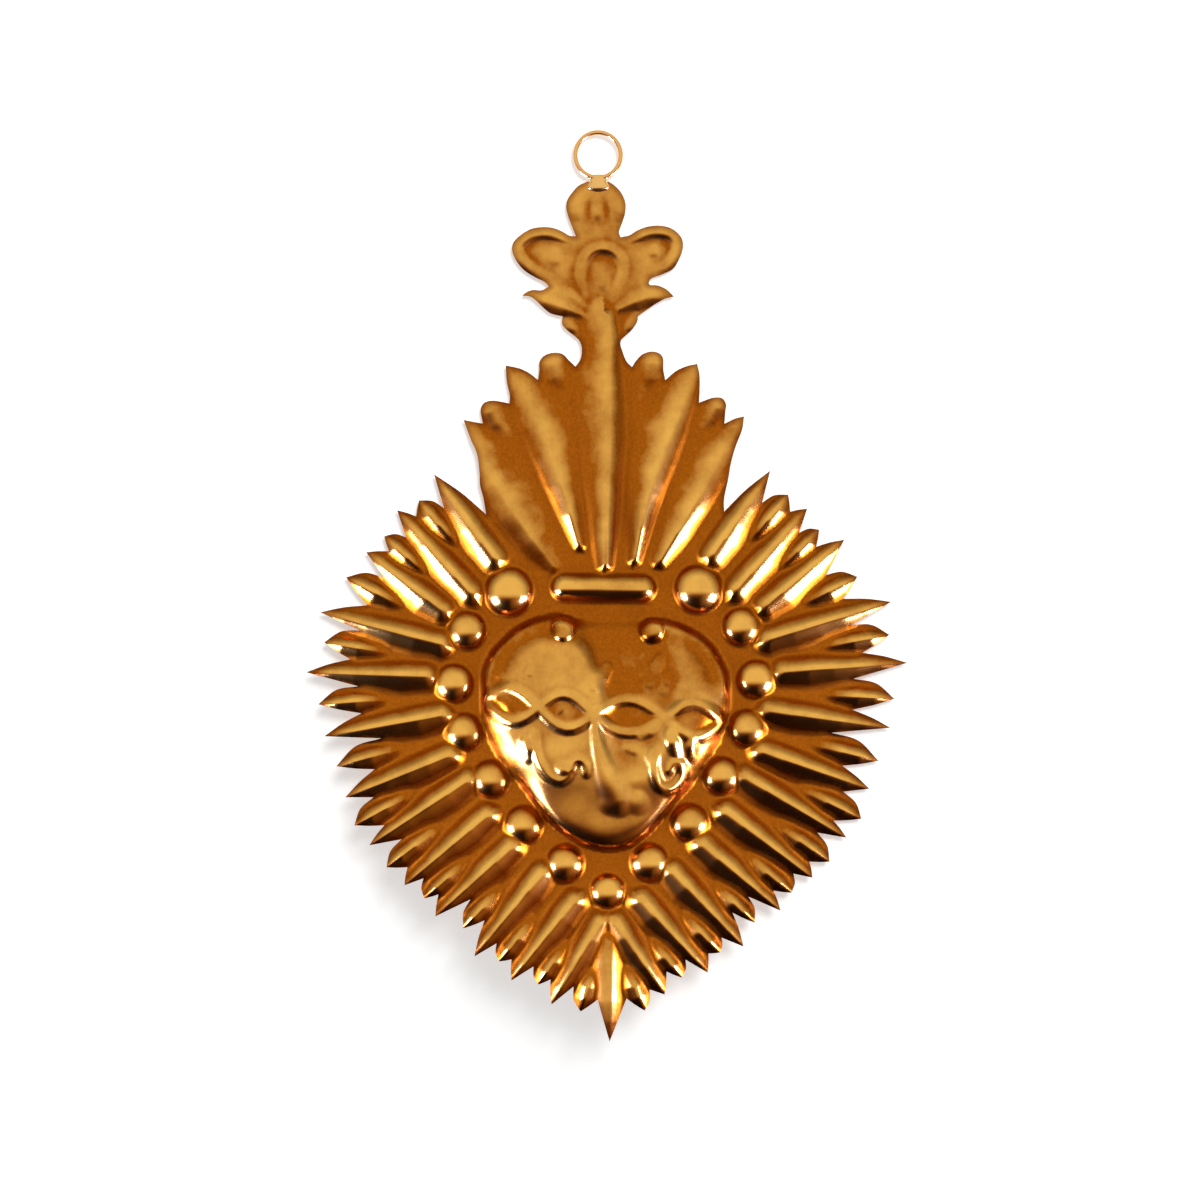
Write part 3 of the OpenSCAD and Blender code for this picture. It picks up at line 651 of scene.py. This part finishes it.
def plan_points(step, crest_step=None):
    """Points of the plan: the edge first, then a grid of even triangles, with rows along the crests."""
    low, high = edge.min(0), edge.max(0)
    x, z = np.meshgrid(np.arange(low[0], high[0], step), np.arange(low[1], high[1], step * ROW))
    x = x + (np.arange(len(x)) % 2)[:, None] * step / 2
    grid = np.stack([x.ravel(), z.ravel()], 1)
    if crest_step:
        clear = np.ones(len(grid), bool)
        for path, *_ in folds:
            i = np.flatnonzero(near(grid, path))
            clear[i] &= near_path(grid[i], path)[0] > CREST_ROWS[-1] + step * 0.45
        rows = [rows_along(path, CREST_ROWS, crest_step) for path, *_ in folds]
        grid = np.concatenate([grid[clear]] + rows)
    return np.concatenate([edge, grid[inside_by(grid, edge, step) > step * 0.5]])


def triangles_of(points):
    """Triangles between the points, inside the edge only, each with its front towards -Y."""
    corners, outline, only_inside = list(map(Vector, points.tolist())), list(range(len(edge))), 1
    verts, _, faces, *_ = delaunay_2d_cdt(corners, [], [outline], only_inside, 1e-6)
    return np.array(verts), np.array(faces)


# %% Front, back and rim of the sheet
def slope(p, h):
    """Steepness of the relief in x and z, from heights a fiftieth of a millimetre away."""
    tiny = 0.02
    return (height(p + [tiny, 0]) - h) / tiny, (height(p + [0, tiny]) - h) / tiny


def sheet_front(p):
    """Front of the sheet: FRONT less the height."""
    h = height(p)
    return np.stack([p[:, 0], FRONT - h, p[:, 1]], 1), h


def sheet_back(p):
    """Back of the sheet, hollow behind each form. To keep the metal's thickness on a slope it lies deeper
    there, by thickness * (sqrt(1 + slope^2) - 1), and it never passes the flat back."""
    h = height(p)
    sx, sz = slope(p, h)
    deep = SHEET * (np.sqrt(1 + sx**2 + sz**2) - 1)
    return np.stack([p[:, 0], BACK - np.maximum(h - deep, 0), p[:, 1]], 1)


# %% Points of the front and the back
FINE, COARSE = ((0.32, 0.56))
ALONG_CREST = 0.3
front_plan, front_tris = triangles_of(plan_points(FINE, ALONG_CREST))
back_plan, back_tris = triangles_of(plan_points(COARSE))
front, front_h = sheet_front(front_plan)
back = sheet_back(back_plan)
n_edge, n_front = len(edge), len(front)
this = np.arange(n_edge)
following = np.roll(this, -1)
# The rim joins the front's edge to the back's, two triangles for each piece of the edge
rim = np.concatenate([
    np.stack([this, following, following + n_front], 1),
    np.stack([this, following + n_front, this + n_front], 1),
])
print(len(front_tris), "triangles in front,", len(back_tris), "behind, up to", front_h.max().round(2), "mm")

# %% Mesh helpers
def new_object(name, points, faces):
    """A smooth mesh object from points in metres."""
    mesh = bpy.data.meshes.new(name)
    mesh.from_pydata(points.tolist(), [], [list(f) for f in faces])
    mesh.polygons.foreach_set("use_smooth", np.ones(len(mesh.polygons), bool))
    mesh.update()
    made = bpy.data.objects.new(name, mesh)
    bpy.context.scene.collection.objects.link(made)
    return made


def mesh_piece(name, points, faces, cad_node):
    """A new piece from points in millimetres. It rides on the body and stands for its CAD node."""
    piece = new_object(name, points * MM, faces)
    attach(piece, "root")
    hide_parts(cad_node)
    return piece


def shown_value(mesh, name, values):
    """Keep one number for each point of a mesh, for its material to read."""
    mesh.attributes.new(name, "FLOAT", "POINT").data.foreach_set("value", values.astype(np.float32))


# %% Put the sheet's mesh together
sheet_points = np.concatenate([front, back])
sheet_faces = np.concatenate([front_tris, back_tris[:, ::-1] + n_front, rim])
sheet = mesh_piece("sunburst_sheet", sheet_points, sheet_faces, "pressed_sheet")
ends = np.zeros(len(sheet.data.edges) * 2, np.int32)
sheet.data.edges.foreach_get("vertices", ends)
pairs = ends.reshape(-1, 2)
on_front, on_back = (pairs < n_edge).all(1), ((pairs >= n_front) & (pairs < n_front + n_edge)).all(1)
sheet.data.attributes.new("sharp_edge", "BOOLEAN", "EDGE").data.foreach_set("value", on_front | on_back)
print("the sheet has", len(sheet_points), "points and", (on_front | on_back).sum(), "sharp edges")

# %% [markdown]
# ## Wear and painted shade
# Fingers and cloths rub bright what stands out, and old brown metal stays in the hollows. The brown in the
# hollows, grooves, rims and gaps is also painted shade, and near the cut edge the colour is darker and
# browner still. A picture could be painted for that. Here each point of the mesh gets three numbers instead,
# which the material turns into colour: they are worked out from the relief, so they always fit it.

# %% Comparing a point with its surroundings
def spread(values, rounds):
    """Each point takes the mean of its neighbours, some rounds over."""
    count = np.bincount(pairs.ravel(), minlength=len(values))
    for _ in range(rounds):
        total = np.bincount(pairs[:, 0], values[pairs[:, 1]], len(values))
        total += np.bincount(pairs[:, 1], values[pairs[:, 0]], len(values))
        values = total / np.maximum(count, 1)
    return values


out = -sheet_points[:, 1]
plan = sheet_points[:, ::2]
inner = off_chart(inner_chart, plan)
on_heart = np.clip(inner, 0, 1)
print((on_heart > 0).sum(), "points on the heart")

# %% Worn places and painted shade
# Bright is what stands over its surroundings, or far over the flat; the low places it leaves brown are old
# metal and also painted shade. On the heart it comes on more slowly
rubbed_and_shaded = eased((out - spread(out, 160) + 0.35 + 0.35 * on_heart) / (1.3 + 1.9 * on_heart))
rubbed_and_shaded = np.maximum(rubbed_and_shaded, 0.8 * eased((out - 0.2) / 4.4))
# Inside the rims of the heart's lobes, in its valley, and in the crown's gaps the metal is darkened to
# brown:
# painted shade in these recesses, as well as old metal
in_rim = ridge(inner, 1, GROOVE[1], 1.3)
rubbed_and_shaded -= above_crown(plan) * np.maximum(0.3 * in_rim, 0.4 * off_chart(valley_chart, plan))
line_z = np.interp(plan[:, 0], NODES[:, 0], NODES[:, 1])
gap_half = WAVE * np.abs(np.sin(np.pi * np.interp(plan[:, 0], NODES[:, 0], np.arange(len(NODES)))))
rubbed_and_shaded -= 0.5 * on_heart * np.clip((gap_half - 0.6 - np.abs(plan[:, 1] - line_z)) / 0.7, 0, 1)
# The flower is more evenly worn, from 29 mm below the ring upwards
rubbed_and_shaded = np.maximum(rubbed_and_shaded, 0.42 * eased((plan[:, 1] + 29) / 6) + 0.5 * rubbed_and_shaded)
# Behind, the flat is bright, and the colour darkens into the deeper hollows
rubbed_and_shaded[n_front:] = 0.75 - 0.5 * eased((BACK + out[n_front:]) / 1.6)
shown_value(sheet.data, "rubbed_and_shaded", rubbed_and_shaded)
print("the front is worn by", rubbed_and_shaded[:n_front].mean().round(2), "on average")

# %% Hollows and the cut edge
# Hollow is what lies under its surroundings, near ones for the grooves and wider ones for the valleys. The
# material darkens the hollows: this is old metal, and also painted shade
grooves = eased((spread(out, 14) - out) / 0.14) * (0.85 - 0.4 * on_heart)
hollow = np.maximum(eased((spread(out, 40) - out) / 0.45), grooves)
hollow[n_front:] = 0
shown_value(sheet.data, "hollow", hollow)
to_edge = np.concatenate([inside_by(flat, edge, 1.0) for flat in (front_plan, back_plan)])
shown_value(sheet.data, "to_edge", to_edge)
print("hollow points in front:", (hollow[:n_front] > 0.5).sum())

# %% [markdown]
# ## The ring and its solder
# The ring is a round wire, bent into a loop whose two ends lie on the top petal. Solder has run round
# them and up the sides of the loop, which leaves soft hollow curves between ring and petal.
#
# A ready-made torus would do for the loop, but a tube along a line can follow any bent wire. The solder
# swells and narrows on its way down, so it is drawn as oval rows with a skin between them.

# %% Wire ring
# The wire's radius, the eye's radius, and the radius of the wire's own middle line
WIRE, EYE = 0.36, 2.93
LOOP = EYE + WIRE


def quads(rows, columns, round_rows=True, round_columns=True):
    """Faces between the points of a grid, four corners each. A direction that goes round also joins its
    last line to its first."""
    row_steps, column_steps = rows - (not round_rows), columns - (not round_columns)
    i, j = np.meshgrid(np.arange(row_steps), np.arange(column_steps), indexing="ij")
    i2, j2 = (i + 1) % rows, (j + 1) % columns
    corners = [i * columns + j, i2 * columns + j, i2 * columns + j2, i * columns + j2]
    return np.stack(corners, -1).reshape(-1, 4)


def tube(path, radius, sides=20):
    """A round tube along a closed line in the plane of the sheet: at each point a circle, from the side
    direction and the Y axis."""
    way = np.roll(path, -1, 0) - np.roll(path, 1, 0)
    way /= np.linalg.norm(way, axis=1)[:, None]
    a = np.linspace(0, 2 * np.pi, sides, endpoint=False)
    across = np.stack([-way[:, 1], way[:, 0]], 1)[:, None] * np.cos(a)[None, :, None] * radius
    x, z = (path[:, None] + across).transpose(2, 0, 1)
    points = np.stack([x, np.broadcast_to(radius * np.sin(a), x.shape), z], -1).reshape(-1, 3)
    return points, quads(len(path), sides)


round_loop = np.linspace(0, 2 * np.pi, 160, endpoint=False)
loop_points, loop_faces = tube(np.stack([LOOP * np.sin(round_loop), -LOOP * np.cos(round_loop)], 1), WIRE)
ring_piece = mesh_piece("wire_ring", loop_points, loop_faces, "hanging_ring")
print("the ring has", len(loop_faces), "faces")

# %% Solder
ROWS = np.array([
    # z, half width, half depth, middle of the depth
    (-2.80, 0.30, 0.10, 0.00), (-2.86, 0.80, 0.24, 0.00), (-3.05, 1.45, 0.33, 0.00),
    (-3.25, 1.62, 0.38, 0.00), (-3.45, 1.36, 0.42, 0.02), (-3.70, 1.22, 0.48, 0.04),
    (-4.00, 1.30, 0.56, 0.04), (-4.35, 1.50, 0.61, 0.05), (-4.65, 1.64, 0.60, 0.06),
    (-4.88, 1.52, 0.57, 0.07), (-5.05, 1.22, 0.48, 0.10), (-5.18, 0.84, 0.36, 0.17),
    (-5.27, 0.50, 0.24, 0.24), (-5.33, 0.22, 0.12, 0.30),
])


def lofted(rows, sides=40):
    """A closed body from flat oval rows, made smooth from row to row. A row's point at angle a is
    (half width * cos a, middle - half depth * sin a). Quads join each row to the next. The first and the
    last row are shrunk to a small ring of radius 0.02, and one face closes each."""
    z, half_width, half_depth, middle = smooth_line(rows, 0.06).T
    half_width[[0, -1]] = half_depth[[0, -1]] = 0.02
    a = np.linspace(0, 2 * np.pi, sides, endpoint=False)
    x = half_width[:, None] * np.cos(a)
    y = middle[:, None] - half_depth[:, None] * np.sin(a)
    body = np.stack([x, y, np.broadcast_to(z[:, None], x.shape)], -1).reshape(-1, 3)
    skin = quads(len(z), sides, round_rows=False)[:, [0, 3, 2, 1]]
    first, last = np.arange(sides), (len(z) - 1) * sides + np.arange(sides)
    return body, skin.tolist() + [first[::-1].tolist(), last.tolist()]


solder_points, solder_faces = lofted(ROWS)
solder_piece = mesh_piece("solder_pool", solder_points, solder_faces, "solder_joint")
print("the solder has", len(solder_faces), "faces")

# %% [markdown]
# ## Metal
# The sheet is a copper alloy, gold where it is rubbed and brown where it is old; the brown in its hollows is
# also painted shade. The ring and the solder are paler brass. All three have the same grain: slow clouds in
# the colour and a fine, slightly rough skin, as struck metal has. It could be a picture, but noise made from
# each point's place has no seams and no fixed size, so the grain is one node group that the three materials
# share. Only the sheet has the wear and the painted shade, from the three numbers that its points carry.

# %% Node helpers
def new_group(name, inputs, outputs):
    """A shader node group with named sockets."""
    group = bpy.data.node_groups.new(name, "ShaderNodeTree")
    for label, kind, value in inputs:
        group.interface.new_socket(label, in_out="INPUT", socket_type=kind).default_value = value
    for label, kind in outputs:
        group.interface.new_socket(label, in_out="OUTPUT", socket_type=kind)
    return group, group.nodes.new("NodeGroupInput"), group.nodes.new("NodeGroupOutput")


def node(tree, kind, links=(), **settings):
    """A node with its settings, and its inputs either set or linked."""
    made = tree.nodes.new(kind)
    for key, value in settings.items():
        setattr(made, key, value)
    for socket, value in dict(links).items():
        if isinstance(value, bpy.types.NodeSocket):
            tree.links.new(value, made.inputs[socket])
        else:
            made.inputs[socket].default_value = value
    return made


def mix(tree, kind, factor, a, b):
    """A colour mix of a and b."""
    return node(tree, "ShaderNodeMix", {0: factor, 6: a, 7: b}, data_type="RGBA", blend_type=kind).outputs[2]


def maths(tree, kind, *values, **settings):
    """One sum, of the kind that Blender calls it, with its values in order."""
    return node(tree, "ShaderNodeMath", dict(enumerate(values)), operation=kind, **settings).outputs[0]


def ranged(tree, value, start, end, low, high):
    """Goes evenly from low to high while the value goes from start to end."""
    return node(tree, "ShaderNodeMapRange", {"Value": value, 1: start, 2: end, 3: low, 4: high}).outputs[0]


# %% Grain of struck metal
grain, g_in, g_out = new_group(
    "struck_grain",
    [("Size", "NodeSocketFloat", 2600.0)],
    [("Mottle", "NodeSocketFloat"), ("Fine", "NodeSocketFloat"), ("Height", "NodeSocketFloat")],
)
here = node(grain, "ShaderNodeTexCoord").outputs["Object"]


def noise(scale, detail):
    """Noise over the object. Its clouds are about 1 / scale metres wide."""
    values = {"Vector": here, "Scale": scale, "Detail": detail, "Roughness": 0.6}
    return node(grain, "ShaderNodeTexNoise", values).outputs["Fac"]


slow, fine = noise(260.0, 4.0), noise(g_in.outputs["Size"], 3.0)
both = maths(grain, "MULTIPLY_ADD", fine, 0.45, slow)
for label, value in (("Mottle", slow), ("Fine", fine), ("Height", both)):
    grain.links.new(value, g_out.inputs[label])
print(grain.name, "has", len(grain.nodes), "nodes")


# %% The three metals
def metal(name, bright, deep, roughness, bump):
    """A metal whose colour goes from bright to deep with its mottle, and the nodes to build on."""
    made = bpy.data.materials.new(name)
    made.use_nodes = True
    tree = made.node_tree
    shader = tree.nodes["Principled BSDF"]
    shader.inputs["Metallic"].default_value = 1.0
    shader.inputs["Roughness"].default_value = roughness
    texture = node(tree, "ShaderNodeGroup", node_tree=grain).outputs
    mottled = mix(tree, "MIX", texture["Mottle"], bright, deep)
    tree.links.new(mottled, shader.inputs["Base Color"])
    surface = node(tree, "ShaderNodeBump", {"Height": texture["Height"], "Strength": bump, "Distance": 1e-4})
    tree.links.new(surface.outputs["Normal"], shader.inputs["Normal"])
    return made, tree, shader, mottled, texture


copper, tree, shader, mottled, texture = metal(
    "struck_copper", (0.95, 0.60, 0.17, 1), (0.84, 0.43, 0.09, 1), 0.2, 0.08
)
wire_brass = metal("wire_brass", (0.93, 0.60, 0.30, 1), (0.80, 0.42, 0.16, 1), 0.22, 0.1)[0]
solder_brass = metal("solder_brass", (0.94, 0.62, 0.28, 1), (0.84, 0.48, 0.17, 1), 0.22, 0.15)[0]
for piece, material in ((sheet, copper), (ring_piece, wire_brass), (solder_piece, solder_brass)):
    piece.data.materials.append(material)
    print(piece.name, "is", material.name)

# %% Wear and painted shade of the copper
rubbed_and_shaded_here, hollow_here, edge_here = (
    node(tree, "ShaderNodeAttribute", attribute_name=name).outputs["Fac"]
    for name in ("rubbed_and_shaded", "hollow", "to_edge")
)
# How bright the metal is: worn, a little uneven, and less in the hollows, as painted shade as well as old
# metal
uneven = ranged(tree, texture["Mottle"], 0.3, 0.7, -0.3, 0.3)
bright = maths(tree, "ADD", rubbed_and_shaded_here, uneven)
bright = maths(tree, "MULTIPLY_ADD", hollow_here, -0.55, bright, use_clamp=True)
# The brown of old metal, which is also the painted shade, has a fine grain; near the cut edge the colour is
# darker and browner still
speckle = ranged(tree, texture["Fine"], 0.35, 0.65, 0.85, 1.1)
patina_and_shade_brown = mix(tree, "MULTIPLY", 1.0, (0.40, 0.112, 0.006, 1), speckle)
colour = mix(tree, "MIX", bright, patina_and_shade_brown, mottled)
brown = ranged(tree, edge_here, 0.0, 0.9, 0.8, 0.0)
colour = mix(tree, "MULTIPLY", brown, colour, (0.45, 0.30, 0.28, 1))
tree.links.new(colour, shader.inputs["Base Color"])
# Bright metal is smoother than old metal, and the hollows are the roughest
rough = ranged(tree, bright, 0.0, 1.0, 0.21, 0.16)
rough = maths(tree, "MULTIPLY_ADD", hollow_here, 0.22, rough)
tree.links.new(rough, shader.inputs["Roughness"])
print(copper.name, "has", len(tree.nodes), "nodes")

# %% [markdown]
# ## Paper
# The charm was photographed on white paper, with a soft shadow at its lower left only. A flat sheet of
# paper would lie close to it everywhere. So here the paper is close at the top right and bends away from
# the charm at the bottom left. It glows a little, as seen by the camera and in the metal, to be as white
# as in the photograph. From behind it is clear, so that the back of the charm can be looked at.

# %% Paper behind the charm
PAPER_GLOW = 0.42
# In metres: how far the paper lies behind the ring's middle, and how fast it bends away
PAPER_Y, PAPER_BEND = 0.0013, 4.0
PAPER_POINTS = 201


def empty_material(name):
    """A material without nodes, and its tree."""
    made = bpy.data.materials.new(name)
    made.use_nodes = True
    made.node_tree.nodes.clear()
    return made, made.node_tree


paper, tree = empty_material("white_paper")
matt = node(tree, "ShaderNodeBsdfDiffuse", {"Color": (0.85, 0.85, 0.84, 1)})
ray = node(tree, "ShaderNodeLightPath").outputs
seen = maths(tree, "MAXIMUM", ray["Is Camera Ray"], ray["Is Glossy Ray"])
seen = maths(tree, "MAXIMUM", seen, ray["Is Transmission Ray"])
strength = maths(tree, "MULTIPLY", seen, PAPER_GLOW)
glow = node(tree, "ShaderNodeEmission", {"Color": (1, 1, 1, 1), "Strength": strength})
lit = node(tree, "ShaderNodeAddShader", {0: matt.outputs[0], 1: glow.outputs[0]})
clear = node(tree, "ShaderNodeBsdfTransparent")
behind = node(tree, "ShaderNodeNewGeometry").outputs["Backfacing"]
two_sides = node(tree, "ShaderNodeMixShader", {0: behind, 1: lit.outputs[0], 2: clear.outputs[0]})
node(tree, "ShaderNodeOutputMaterial", {"Surface": two_sides.outputs[0]})

across, along = np.linspace(-0.5, 0.5, PAPER_POINTS), np.linspace(-0.57, 0.43, PAPER_POINTS)
x, z = np.meshgrid(across, along, indexing="ij")
away = np.clip(-0.075 - z - 0.5 * x, 0, 0.1)
paper_points = np.stack([x, PAPER_Y + PAPER_BEND * away**2, z], -1).reshape(-1, 3)
paper_sheet = new_object("paper", paper_points, quads(PAPER_POINTS, PAPER_POINTS, False, False))
paper_sheet.data.materials.append(paper)
print("at its lower edge the paper stands", round(PAPER_BEND * away.max() ** 2 / MM), "mm off")

# %% [markdown]
# ## Light
# What is seen on polished metal is mostly the room round it, in the metal's own tint. Lamps alone would
# leave it black with a few bright spots. So the charm stands in a big ball of glowing cloth that only
# reflections see, dark below and pale above, and two small bluish boxes light it from the lower left and
# right. The sun lights only the paper and throws the shadow.

# %% World
# Plain white to the camera, and a third as bright where it lights the paper
world = bpy.data.worlds.new("studio")
bpy.context.scene.world = world
world.use_nodes = True
tree = world.node_tree
background = tree.nodes["Background"].inputs
background["Color"].default_value = (1, 1, 1, 1)
ray = node(tree, "ShaderNodeLightPath").outputs
seen = maths(tree, "MAXIMUM", ray["Is Camera Ray"], ray["Is Transmission Ray"])
tree.links.new(ranged(tree, seen, 0.0, 1.0, 0.35, 1.0), background["Strength"])
print("the world is called", world.name)

# %% Tent
# The ball's radius in metres, and its points round it and from top to bottom
TENT_R, AROUND, DOWN = 3.0, 48, 25
turned, drop = np.meshgrid(
    np.linspace(0, 2 * np.pi, AROUND, endpoint=False), np.linspace(0.02, np.pi - 0.02, DOWN), indexing="ij"
)
ball = np.stack([np.cos(turned) * np.sin(drop), np.sin(turned) * np.sin(drop), np.cos(drop)], -1)
tent = new_object("tent", ball.reshape(-1, 3) * TENT_R, quads(AROUND, DOWN, round_columns=False))
tent.visible_camera = tent.visible_diffuse = tent.visible_shadow = tent.visible_transmission = False
print("the tent has", len(tent.data.polygons), "faces")

# %% Cloth of the tent
# Dark red-brown below, pale above, and warm where they meet, 10 to 40 degrees below level
STOPS = [
    (0.18, (0.014, 0.002, 0.0005)), (0.27, (0.15, 0.04, 0.009)),
    (0.35, (0.68, 0.50, 0.28)), (0.42, (0.90, 0.82, 0.61)),
]
cloth, tree = empty_material("tent_cloth")
way = node(tree, "ShaderNodeSeparateXYZ", {0: node(tree, "ShaderNodeTexCoord").outputs["Object"]}).outputs
ramp = node(tree, "ShaderNodeValToRGB", {"Fac": ranged(tree, way["Z"], -TENT_R, TENT_R, 0.0, 1.0)})
while len(ramp.color_ramp.elements) < len(STOPS):
    ramp.color_ramp.elements.new(0.5)
for element, (stop, value) in zip(ramp.color_ramp.elements, STOPS):
    element.position = stop
    element.color = (*value, 1)
# The cloth is warm at the right side, and paler in front of the charm than beside it
to_right = ranged(tree, way["X"], 0.0, 0.8 * TENT_R, 0.0, 1.0)
warm = mix(tree, "MIX", to_right, (0, 0, 0, 1), (0.60, 0.26, 0.07, 1))
cloth_colour = mix(tree, "LIGHTEN", 1.0, ramp.outputs["Color"], warm)
in_front = ranged(tree, way["Y"], 0.0, -0.6 * TENT_R, 0.3, 1.0)
cloth_colour = mix(tree, "MULTIPLY", 1.0, cloth_colour, in_front)
cloth_glow = node(tree, "ShaderNodeEmission", {"Color": cloth_colour, "Strength": 1.0})
node(tree, "ShaderNodeOutputMaterial", {"Surface": cloth_glow.outputs[0]})
tent.data.materials.append(cloth)


# %% Lamps
def lamp(name, kind, spot, aim, **settings):
    """A lamp at a place, turned to a point, with its power, size and colour."""
    data = bpy.data.lights.new(name, kind)
    for key, value in settings.items():
        setattr(data, key, value)
    made = bpy.data.objects.new(name, data)
    made.location = spot
    made.rotation_euler = (Vector(aim) - Vector(spot)).to_track_quat("-Z", "Y").to_euler()
    made.visible_camera = False
    bpy.context.scene.collection.objects.link(made)
    return made


sun = lamp("paper_light", "SUN", (0.28, -1.0, 0.34), (0, 0, -0.07), energy=2.2, angle=0.4)
sun.visible_glossy = False
BOX = {"energy": 0.36, "color": (0.48, 0.54, 1.0), "shape": "RECTANGLE", "size": 0.056, "size_y": 0.046}
for name, box_x in (("left_box", -0.108), ("right_box", 0.108)):
    box = lamp(name, "AREA", (box_x, -0.040, -0.126), (box_x * 0.3, 0, -0.07), **BOX)
    box.visible_diffuse = False

# %% [markdown]
# ## Camera
# The photograph looks straight at the charm. Its 1200 pixels span 1200 * PIXEL millimetres, so the lens
# is sensor width * distance / that span. The distance could be anything, but from far away the parts that
# stand out keep their size. The charm hangs askew there, so the camera is rolled by three quarters of a
# degree instead of turning the charm.

# %% Camera
DISTANCE, SENSOR_MM = 1.2, 36
FRAME_MM = 1200 * PIXEL
ROLL = np.radians(0.75)
camera = bpy.data.cameras.new("camera")
camera.sensor_width = SENSOR_MM
camera.lens = SENSOR_MM * DISTANCE / (FRAME_MM * MM)
camera.clip_end = 20
camera_object = bpy.data.objects.new("camera", camera)
bpy.context.scene.collection.objects.link(camera_object)
camera_object.location = (-0.00055, -DISTANCE, -0.0645)
camera_object.rotation_euler = (np.pi / 2, ROLL, 0)
bpy.context.scene.camera = camera_object
bpy.context.scene.view_settings.view_transform = "Standard"
print("a lens of", round(camera.lens), "mm, and", FRAME_MM, "mm across the picture")
